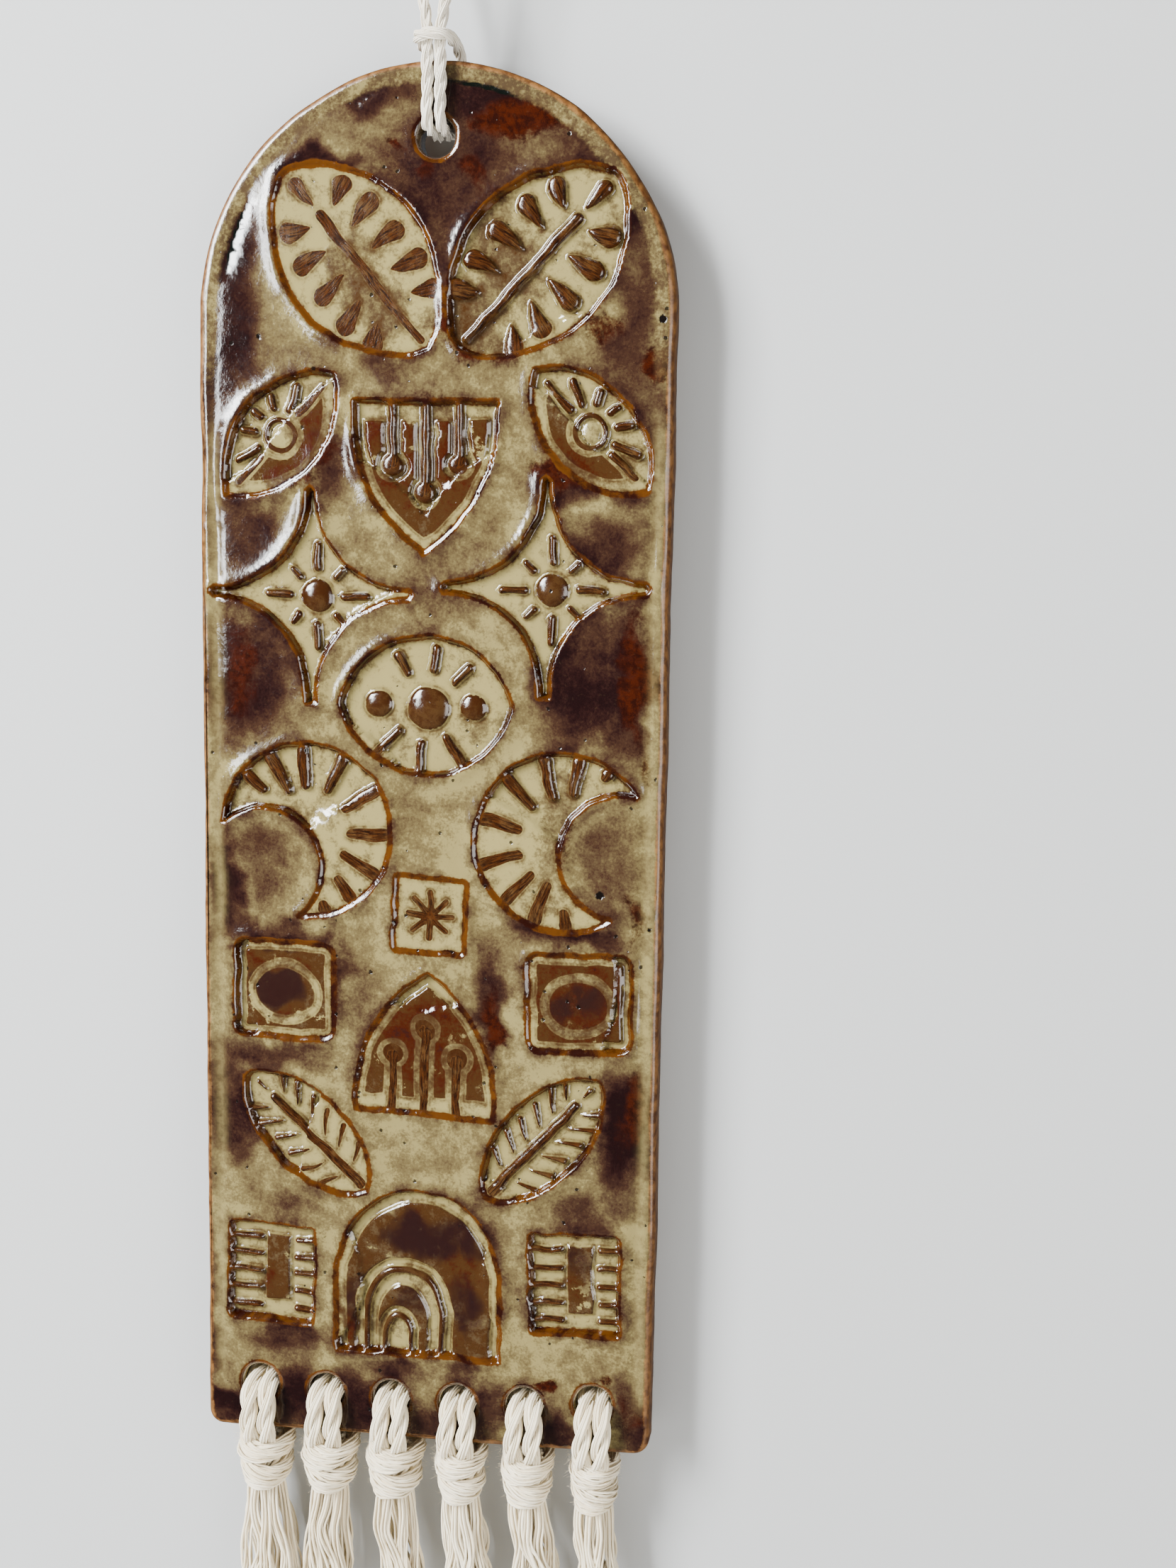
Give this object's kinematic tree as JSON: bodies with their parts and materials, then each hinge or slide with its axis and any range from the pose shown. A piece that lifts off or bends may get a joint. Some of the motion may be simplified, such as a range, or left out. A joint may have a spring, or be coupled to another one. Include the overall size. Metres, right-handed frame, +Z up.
{
  "type": "stamped stoneware wall hanging with cotton tassels",
  "caption": "Tall arch-topped glazed stoneware slab pressed with leaf, star, moon and arch stamps, hung by a cotton cord, with knotted cotton tassels along its bottom edge.",
  "frame": {"origin": "where the hanging cord's loop rests on its peg, above the slab", "axes": "+Z up along the slab's length, +X to the right of someone who faces it, +Y into the wall behind it; the slab's front face is at y = 0"},
  "size_m": [0.0948, 0.016, 0.3818],
  "materials": {
    "glazed_stoneware": "glossy cream and olive glaze that breaks to rust brown on every edge, purple brown where thin",
    "cotton": "soft undyed cotton, matt"
  },
  "bodies": {
    "root": {"plaque": "glazed_stoneware", "hanging_cord": "cotton", "hanging_knot": "cotton", "tassel_1": "cotton", "tassel_2": "cotton", "tassel_3": "cotton", "tassel_4": "cotton", "tassel_5": "cotton", "tassel_6": "cotton"}
  },
  "joints": []
}
